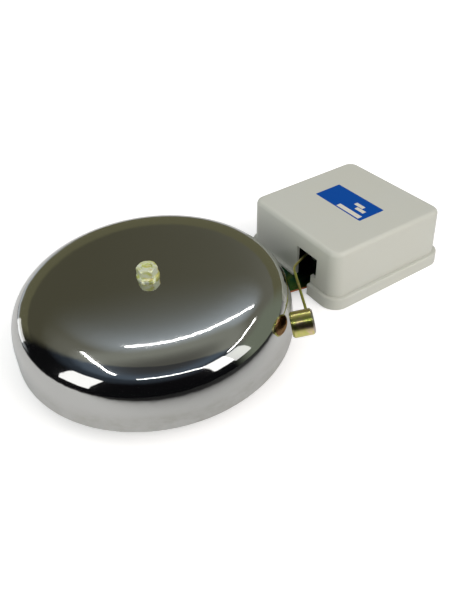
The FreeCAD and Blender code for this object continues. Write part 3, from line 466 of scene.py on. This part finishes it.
def moulded_finish(name, base, speck, low, high, size, depth):
    """Moulded plastic or rubber with a grain."""
    finish, tree, shader = new_finish(name)
    where = tree.place()
    fine = tree.use(grain(), {"Vector": where, "Size": size})
    marks = tree.use(handling(), {"Vector": where, "Patch": 0.015, "Low": low, "High": high})
    tone = tree.mix(tree.math("MULTIPLY", fine["Speck"], 0.5), base, speck)
    tree.feed(shader.inputs["Base Color"], tone)
    tree.feed(shader.inputs["Roughness"], marks["Roughness"])
    tree.feed(shader.inputs["Normal"], tree.bump(fine["Height"], depth))
    return finish


def felt_finish():
    """Pressed wool felt: crossed fibres at two scales."""
    finish, tree, shader = new_finish("Wool felt", Roughness=0.95, Sheen_Weight=0.3)
    along = tree.noise(tree.place((900, 5000, 5000)), 1.0, 3.0, 0.7, 1.5)
    across = tree.noise(tree.place((5000, 900, 5000)), 1.0, 3.0, 0.7, 1.5)
    fibres = tree.math("MAXIMUM", along, across)
    tree.feed(shader.inputs["Base Color"],
              tree.mix(tree.ease(fibres, 0.4, 0.75), (0.05, 0.05, 0.045), (0.2, 0.19, 0.17)))
    tree.feed(shader.inputs["Normal"], tree.bump(fibres, 0.15 * MM))
    return finish


def enamel_finish(colours):
    """Enamelled copper wire: each turn a slightly different tone."""
    finish, tree, shader = new_finish("Enamelled wire", Metallic=1.0, Coat_Weight=0.6,
                                      Coat_Roughness=0.12)
    where = tree.place()
    turns = tree.noise(tree.place((30, 2400, 30)), 1.0, 1.0, 0.4)
    dark = [c * 0.6 for c in colours.lacquer]
    tree.feed(shader.inputs["Base Color"],
              tree.mix(tree.ease(turns, 0.35, 0.65), colours.lacquer, dark))
    marks = tree.use(handling(), {"Vector": where, "Patch": 0.01, "Low": 0.25, "High": 0.4})
    tree.feed(shader.inputs["Roughness"], marks["Roughness"])
    return finish


def label_finish(colours, centre, width, height):
    """Blue printed film with three blank write-in fields."""
    finish, tree, shader = new_finish("Printed film", Specular_IOR_Level=0.08)
    where = tree.place(centre=centre)
    ink = tree.use(grain(), {"Vector": where, "Size": 0.18 * MM})
    deep = [c * 0.8 for c in colours.label]
    base = tree.mix(ink["Height"], deep, colours.label)
    # fields as (from left, to left, from bottom, to bottom), in parts of the label
    fields = [(0.46, 0.94, 0.05, 0.22), (0.60, 0.78, 0.53, 0.67), (0.70, 0.88, 0.36, 0.50)]
    for left, right, bottom, top in fields:
        across = (0.5 - (left + right) / 2) * width
        along = ((bottom + top) / 2 - 0.5) * height
        spot = tree.place(centre=(centre[0] + along, centre[1] + across, centre[2]))
        mask = tree.use(field(), {"Vector": spot, "Half X": (top - bottom) / 2 * height,
                                  "Half Y": (right - left) / 2 * width})
        base = tree.mix(mask["Mask"], base, colours.field)
    tree.feed(shader.inputs["Base Color"], base)
    marks = tree.use(handling(), {"Vector": where, "Patch": 0.012, "Low": 0.28, "High": 0.42})
    tree.feed(shader.inputs["Roughness"], marks["Roughness"])
    tree.feed(shader.inputs["Normal"], tree.bump(ink["Height"], 0.006 * MM))
    return finish


# ---------------------------------------------------------------- pieces

class BELL_OT_gong(bpy.types.Operator):
    """Gives the gong its polished chrome"""
    bl_idname = "bell.gong"
    bl_label = "Gong"

    def execute(self, context):
        dress(chrome_finish(context.scene.bell_colours), "gong")
        return {"FINISHED"}


class BELL_OT_fixings(bpy.types.Operator):
    """Passivated zinc on the gong's fixings, the hammer, its wire and the screws"""
    bl_idname = "bell.fixings"
    bl_label = "Zinc fixings"

    def execute(self, context):
        tones = context.scene.bell_colours
        turn, tilt = math.radians(28.6), math.radians(9.0)
        axis = (math.cos(turn) * math.cos(tilt), -math.sin(turn) * math.cos(tilt),
                math.sin(tilt))
        hammer = zinc_finish("Passivated hammer", 0.014, tones.gold, tones.green, tones.rose,
                             0.22, 0.27, axis=axis, ends=(tones.copper, tones.violet))
        wire = zinc_finish("Passivated wire", 0.03, tones.olive, tones.green, tones.gold,
                           0.28, 0.36)
        bright = zinc_finish("Passivated zinc", 0.012, tones.gold, tones.green, tones.rose,
                             0.16, 0.26)
        # Pale, nearly white colour with low metal: partly the nut's own pale film, partly painted
        # highlights standing in for the lamps that its facets mirror.
        nut = zinc_finish("Pale zinc and painted glints", 0.009, tones.pale, tones.green, tones.gold,
                          0.14, 0.24, metal=0.4)
        dress(hammer, "hammer")
        dress(wire, "hammer_rod")
        dress(nut, "gong_nut", "gong_washer", "gong_bolt")
        dress(bright, "gong_pillar", "cover_screws", "core_screws", "core_nuts", "post_screw",
              "clamp_screws", "earth_screw", "earth_washer", "terminal_screws", "block_screw")
        dress(felt_finish(), "felt_washer")
        return {"FINISHED"}


class BELL_OT_plate(bpy.types.Operator):
    """Thick green passivation on the base plate"""
    bl_idname = "bell.plate"
    bl_label = "Base plate"

    def execute(self, context):
        dress(plate_finish(context.scene.bell_colours), "base_plate")
        return {"FINISHED"}


class BELL_OT_cover(bpy.types.Operator):
    """Ivory moulding on the cover and rubber on its grommet"""
    bl_idname = "bell.cover"
    bl_label = "Cover and grommet"

    def execute(self, context):
        dress(ivory_finish(context.scene.bell_colours), "cover")
        rubber = moulded_finish("Rubber", (0.012, 0.012, 0.013), (0.05, 0.05, 0.05),
                                0.5, 0.7, 0.3 * MM, 0.02 * MM)
        dress(rubber, "cable_grommet", "stop_sleeve")
        return {"FINISHED"}


class BELL_OT_magnet(bpy.types.Operator):
    """Finishes for the magnet, its armature and the spring's mounts"""
    bl_idname = "bell.magnet"
    bl_label = "Magnet and armature"

    def execute(self, context):
        dress(laminated_finish(), "magnet_core", "armature")
        steel = metal_finish("Zinc-plated steel", (0.5, 0.51, 0.52), (0.6, 0.61, 0.62),
                             0.25, 0.4, (60, 1500, 1500))
        dress(steel, "core_spacers", "spring_post", "spring_clamp", "stop_pin",
              "spring_rivets")
        nylon = moulded_finish("Nylon bobbin", (0.35, 0.33, 0.27), (0.5, 0.48, 0.4),
                               0.4, 0.55, 0.4 * MM, 0.01 * MM)
        dress(nylon, "coil_bobbin")
        return {"FINISHED"}


class BELL_OT_spring(bpy.types.Operator):
    """A leaf spring strip between its post and the armature"""
    bl_idname = "bell.spring"
    bl_label = "Leaf spring"

    def execute(self, context):
        sizes = context.scene.bell_sizes
        low, high = np.array(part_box("leaf_spring"))
        half = (high - low) / 2
        ring = rounded_ring(half[1], half[2], sizes.spring_edge, 24)
        # The strip's outline across, a thin rectangle with round corners, stands at even
        # stations along X. The first and last rows shrink it to a point, to close the ends.
        stations = 97
        along = np.linspace(low[0], high[0], stations)
        along = np.concatenate([along[:1], along, along[-1:]])
        grow = np.ones(len(along))
        grow[[0, -1]] = 0.0
        across = ring[None] * grow[:, None, None]
        reach = np.broadcast_to(along[:, None, None], (*across.shape[:2], 1))
        points = np.concatenate([reach, across], axis=2)
        points[..., 1:] += ((low + high) / 2)[1:]
        finish = metal_finish("Spring steel", (0.3, 0.33, 0.4), (0.42, 0.44, 0.48),
                              0.16, 0.28, (50, 1800, 1800))
        piece = grid_piece("flexing_spring", points, None, finish)
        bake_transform(piece)
        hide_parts("leaf_spring")
        return {"FINISHED"}


class BELL_OT_terminals(bpy.types.Operator):
    """Finishes for the terminal block"""
    bl_idname = "bell.terminals"
    bl_label = "Terminals"

    def execute(self, context):
        block = moulded_finish("Black moulding", (0.02, 0.02, 0.021), (0.06, 0.06, 0.06),
                               0.3, 0.45, 0.35 * MM, 0.015 * MM)
        dress(block, "terminal_block")
        brass = metal_finish("Brass", (0.72, 0.52, 0.22), (0.8, 0.6, 0.28),
                             0.2, 0.36, (60, 1400, 1400))
        dress(brass, "terminal_tubes")
        return {"FINISHED"}


class BELL_OT_label(bpy.types.Operator):
    """Sticks a blank printed label on the cover's top"""
    bl_idname = "bell.label"
    bl_label = "Label"

    def execute(self, context):
        sizes = context.scene.bell_sizes
        x = COVER_LOW[0] + sizes.label_inset + sizes.label_height / 2
        top = COVER_HIGH[2]
        centre = (x, 0.0, top)
        finish = label_finish(context.scene.bell_colours, centre, sizes.label_width,
                              sizes.label_height)
        thickness = sizes.label_thickness
        half = sizes.label_height / 2
        # Rows from the middle of the top, over a rounded edge, down and back to the middle.
        # Each is the outline shrunk by a share, at a share of the thickness; the last three
        # lie a little inside the cover, so that no gap shows.
        shoulder, brink = 0.3 * MM / half, 0.02 * MM / half
        shrink = np.array([1.0, 0.5, 0.15, shoulder, brink, 0.0, 0.0, 0.15, 1.0])
        height = np.array([1.0, 1.0, 1.0, 1.0, 0.9, 0.6, -0.1, -0.1, -0.1]) * thickness
        ring = rounded_ring(half, sizes.label_width / 2, sizes.label_corner, 96)
        flat = ring[None] * (1.0 - shrink[:, None, None])
        points = np.concatenate([flat, np.broadcast_to(height[:, None, None],
                                                       (*flat.shape[:2], 1))], axis=2)
        grid_piece("label", points + np.array(centre), "base", finish)
        return {"FINISHED"}


class BELL_OT_coil(bpy.types.Operator):
    """Winds the coil from turns of enamelled wire"""
    bl_idname = "bell.coil"
    bl_label = "Coil"

    def execute(self, context):
        sizes = context.scene.bell_sizes
        low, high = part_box("coil_winding")
        middle = (np.array(low) + np.array(high)) / 2
        half = (np.array(high) - np.array(low)) / 2
        finish = enamel_finish(context.scene.bell_colours)
        columns, per_turn = 112, 8
        turns = int(round(2 * half[1] / sizes.wire))
        rows = turns * per_turn + 1
        along = np.linspace(-half[1], half[1], rows)
        ring = rounded_ring(half[0], half[2], sizes.coil_corner, columns)
        turn = np.arange(columns) / columns
        # Each turn's crown is nearly a half circle of wire, and it climbs one pitch per turn
        # round: phase goes from -1 to 1 across a turn, and a point sinks by the circle's
        # drop at that phase. A roundness just under 1 keeps the crown's edges off upright.
        roundness = 0.98
        phase = np.mod(along[:, None] / sizes.wire + turn[None, :], 1.0) * 2 - 1
        sink = (1 - np.sqrt(1 - roundness * phase ** 2)) * sizes.wire / 2
        outer = ring[None] * (1 - sink[:, :, None] / np.linalg.norm(ring, axis=1)[None, :, None])
        # the bore, as shares of the winding across X and Z
        bore_x, bore_z, bore_corner = 0.55, 0.6, 1.0 * MM
        tube = rounded_ring(half[0] * bore_x, half[2] * bore_z, bore_corner, columns)
        xz = np.concatenate([tube[None], outer, tube[None], tube[None]])
        y = np.concatenate([[-half[1]], along, [half[1]], [-half[1]]])
        y = np.broadcast_to(y[:, None], xz.shape[:2])
        points = np.stack([xz[..., 0], y, xz[..., 1]], axis=-1) + middle
        piece = grid_piece("coil_turns", points, "base", finish, sharp=80.0)
        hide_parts("coil_winding")
        return {"FINISHED"}


# ---------------------------------------------------------------- stage

def aim(item, place, target):
    """Puts an object at a place, with its -Z towards a target."""
    back = np.array(place, float) - np.array(target, float)
    back /= np.linalg.norm(back)
    side = np.cross((0.0, 0.0, 1.0) if abs(back[2]) < 0.99 else (0.0, 1.0, 0.0), back)
    side /= np.linalg.norm(side)
    turn = np.stack([side, np.cross(back, side), back], axis=1)
    item.matrix_world = Matrix.Translation(place) @ Matrix(turn.tolist()).to_4x4()


def lamp(name, place, size, brightness, target=None, along=None):
    """A rectangular lamp of an even brightness, which is the same at any distance."""
    data = bpy.data.lights.new(name, "AREA")
    data.shape = "RECTANGLE"
    data.size, data.size_y = size
    data.energy = brightness * math.pi * size[0] * size[1]
    item = bpy.data.objects.new(name, data)
    bpy.context.scene.collection.objects.link(item)
    item.visible_camera = False
    if along is None:
        aim(item, place, target)
    else:
        side = np.array(along, float) / np.linalg.norm(along)
        turn = np.stack([side, np.cross((0.0, 0.0, 1.0), side), (0.0, 0.0, 1.0)], axis=1)
        item.matrix_world = Matrix.Translation(place) @ Matrix(turn.tolist()).to_4x4()
    return item


class BELL_OT_stage(bpy.types.Operator):
    """Floor, surroundings, lamps and camera"""
    bl_idname = "bell.stage"
    bl_label = "Stage"

    def execute(self, context):
        scene = context.scene
        stage = scene.bell_stage
        scene.view_settings.view_transform = "Standard"
        self.camera(scene)
        self.floor(stage)
        self.surroundings(scene, stage)
        self.lamps(stage)
        return {"FINISHED"}

    def camera(self, scene):
        data = bpy.data.cameras.new("camera")
        data.lens = 35.067
        data.sensor_width = 36.0
        data.clip_start = 0.01
        item = bpy.data.objects.new("camera", data)
        scene.collection.objects.link(item)
        azimuth, elevation, roll = np.radians((-29.438, 39.802, -4.423))
        back = np.array([math.sin(azimuth) * math.cos(elevation),
                         -math.cos(azimuth) * math.cos(elevation), math.sin(elevation)])
        level_side = np.array([math.cos(azimuth), math.sin(azimuth), 0.0])
        level_up = np.cross(back, level_side)
        side = math.cos(roll) * level_side + math.sin(roll) * level_up
        up = math.cos(roll) * level_up - math.sin(roll) * level_side
        turn = Matrix(np.stack([side, up, back], axis=1).tolist()).to_4x4()
        item.matrix_world = Matrix.Translation((-0.18185, -0.3059, 0.2977)) @ turn
        scene.camera = item

    def floor(self, stage):
        finish, tree, shader = new_finish("Pale floor", Roughness=0.85)
        tree.feed(shader.inputs["Emission Color"], (1.0, 1.0, 1.0))
        path = tree.add("ShaderNodeLightPath").outputs
        seen = tree.math("MAXIMUM", path["Is Camera Ray"], path["Is Transmission Ray"])
        tree.feed(shader.inputs["Emission Strength"],
                  tree.math("MULTIPLY", seen, stage.floor_lift))
        # metal shows the pale sheet that the bell lies on, and a dim floor past its edges
        x, y, _ = tree.parts(tree.place())
        sheet = tree.math("MULTIPLY", tree.ease(x, -0.95, -0.6), tree.ease(y, -0.32, -0.08))
        sheet = tree.math("MULTIPLY", sheet, tree.ease(x, 0.1, 0.6, 1.0, 0.4))
        mirrored = tree.mix(sheet, (0.008, 0.008, 0.009), (0.8, 0.81, 0.82))
        tree.feed(shader.inputs["Base Color"],
                  tree.mix(path["Is Glossy Ray"], (0.8, 0.8, 0.8), mirrored))
        reach, under = stage.floor_reach, -0.2 * MM
        mesh = bpy.data.meshes.new("floor")
        corners = [(-reach, -reach, under), (reach, -reach, under), (reach, reach, under),
                   (-reach, reach, under)]
        mesh.from_pydata(corners, [], [(0, 1, 2, 3)])
        mesh.materials.append(finish)
        floor = bpy.data.objects.new("floor", mesh)
        bpy.context.scene.collection.objects.link(floor)

    def surroundings(self, scene, stage):
        """White behind the object, even fill light, and a dim room for the metal to show.

        With b the ray's bearing from +Y towards +X, the room's lit side is where
        cos(b - 45 degrees) passes 0, and its far wall where cos(b - 112 degrees) nears 1.
        Each side goes from wall to strip to ceiling to zenith as the ray's z goes to 1.
        """
        tones = scene.bell_room
        world = bpy.data.worlds.new("Studio")
        scene.world = world
        world.use_nodes = True
        world.node_tree.nodes.clear()
        tree = Tree(world.node_tree)
        x, y, z = tree.parts(tree.add("ShaderNodeTexCoord").outputs["Generated"])
        bearing = tree.math("ARCTAN2", x, y)

        def towards(degrees, low, high):
            turn = tree.math("SUBTRACT", bearing, math.radians(degrees))
            return tree.ease(tree.math("COSINE", turn), low, high)

        lit = towards(45, 0.0, 0.3)
        upper = tree.mix(towards(100, 0.0, 1.0), tones.dim_wall, tones.side_wall)
        lined = tree.mix(tree.ease(z, 0.4, 0.46), tones.wall, upper)
        wall = tree.mix(lit, tones.dark_wall, lined)
        wall = tree.mix(towards(112, 0.78, 0.95), wall, tones.far_wall)
        glow = tree.math("MULTIPLY", towards(-20, 0.85, 0.97), tree.ease(z, 0.06, 0.14, 1.0, 0.0))
        wall = tree.mix(glow, wall, tones.glow)
        lit_strip = tree.mix(towards(34, 0.8, 0.97), tones.side_wall, tones.strip)
        strip = tree.mix(lit, tones.dark_strip, lit_strip)
        ceiling = tree.mix(lit, tones.dark_ceiling, tones.ceiling)
        zenith = tree.mix(lit, tones.dark_zenith, tones.zenith)
        room = tree.mix(tree.ease(z, 0.6, 0.78), wall, strip)
        room = tree.mix(tree.ease(z, 0.78, 0.86), room, ceiling)
        room = tree.mix(tree.ease(z, 0.88, 1.0), room, zenith)
        path = tree.add("ShaderNodeLightPath").outputs
        fill = [stage.fill * part for part in (0.97, 1.0, 1.01)]
        shown = tree.mix(path["Is Glossy Ray"], fill, room)
        shown = tree.mix(tree.math("MAXIMUM", path["Is Camera Ray"],
                                   path["Is Transmission Ray"]), shown, (1.0, 1.0, 1.0))
        back = tree.add("ShaderNodeBackground", {"Color": shown, "Strength": 1.0})
        tree.add("ShaderNodeOutputWorld", {"Surface": back.outputs[0]})

    def lamps(self, stage):
        tube_height, tube_width, panel_distance, sun_angle = 2.0, 0.04, 1.8, 50
        # ends of the long lamps in x and y, in millimetres
        tubes = [((222, 1510), (1541, 889)), ((-425, 1305), (-1095, -150)),
                 ((-1081, -892), (397, -1739)), ((1080, -1200), (1700, 150))]
        for number, ends in enumerate(tubes, 1):
            first, last = np.array(ends) * MM
            middle = (first + last) / 2
            span = float(np.linalg.norm(last - first))
            lamp(f"tube_{number}", (*middle, tube_height), (span, tube_width), stage.tubes,
                 along=(*(last - first), 0.0))
        # panels as bearing and height in degrees, width and height in metres, brightness
        panels = [(-93, 27, 0.75, 1.0, 0.9), (157, 35, 0.5, 0.9, 1.0),
                  (141, 31, 0.48, 0.95, 0.6), (-36, 5, 0.5, 0.4, 0.5)]
        heart = np.array([(GONG_LOW[0] + GONG_HIGH[0]) / 2, 0.0, 0.04])
        for number, (bearing, height, wide, tall, share) in enumerate(panels, 1):
            a, e = math.radians(bearing), math.radians(height)
            way = np.array([math.sin(a) * math.cos(e), math.cos(a) * math.cos(e), math.sin(e)])
            lamp(f"panel_{number}", heart + way * panel_distance, (wide, tall),
                 stage.panels * share, target=heart)
        suns = [("key", stage.key, (1.0, 0.875, 0.82), (0.9, -1.6, 1.6)),
                ("side", stage.side, (0.98, 1.0, 0.88), (-1.6, -0.7, 0.6))]
        for name, energy, tone, place in suns:
            data = bpy.data.lights.new(name, "SUN")
            data.energy = energy
            data.color = tone
            data.angle = math.radians(sun_angle)
            sun = bpy.data.objects.new(name, data)
            bpy.context.scene.collection.objects.link(sun)
            aim(sun, place, (0.0, 0.0, 0.0))
            sun.visible_glossy = False


# ---------------------------------------------------------------- add-on

STEPS = (BELL_OT_stage, BELL_OT_gong, BELL_OT_fixings, BELL_OT_plate, BELL_OT_cover,
         BELL_OT_magnet, BELL_OT_spring, BELL_OT_terminals, BELL_OT_label, BELL_OT_coil)


class BELL_PT_steps(bpy.types.Panel):
    """The bell's sizes, colours and steps"""
    bl_idname = "BELL_PT_steps"
    bl_label = "Electric gong bell"
    bl_space_type = "VIEW_3D"
    bl_region_type = "UI"
    bl_category = "Bell"

    def draw(self, context):
        layout = self.layout
        for settings in (context.scene.bell_sizes, context.scene.bell_colours,
                         context.scene.bell_room, context.scene.bell_stage):
            box = layout.box()
            for key in settings.__annotations__:
                box.prop(settings, key)
        for step in STEPS:
            layout.operator(step.bl_idname)


CLASSES = (BellSizes, BellColours, BellRoom, BellStage, *STEPS, BELL_PT_steps)


def register():
    for item in CLASSES:
        bpy.utils.register_class(item)
    bpy.types.Scene.bell_sizes = PointerProperty(type=BellSizes)
    bpy.types.Scene.bell_colours = PointerProperty(type=BellColours)
    bpy.types.Scene.bell_room = PointerProperty(type=BellRoom)
    bpy.types.Scene.bell_stage = PointerProperty(type=BellStage)


def unregister():
    del bpy.types.Scene.bell_stage
    del bpy.types.Scene.bell_room
    del bpy.types.Scene.bell_colours
    del bpy.types.Scene.bell_sizes
    for item in reversed(CLASSES):
        bpy.utils.unregister_class(item)


def main():
    """Registers the classes and runs each step in order."""
    register()
    for step in STEPS:
        group, name = step.bl_idname.split(".")
        getattr(getattr(bpy.ops, group), name)()
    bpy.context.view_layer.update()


if __name__ == "__main__":
    main()
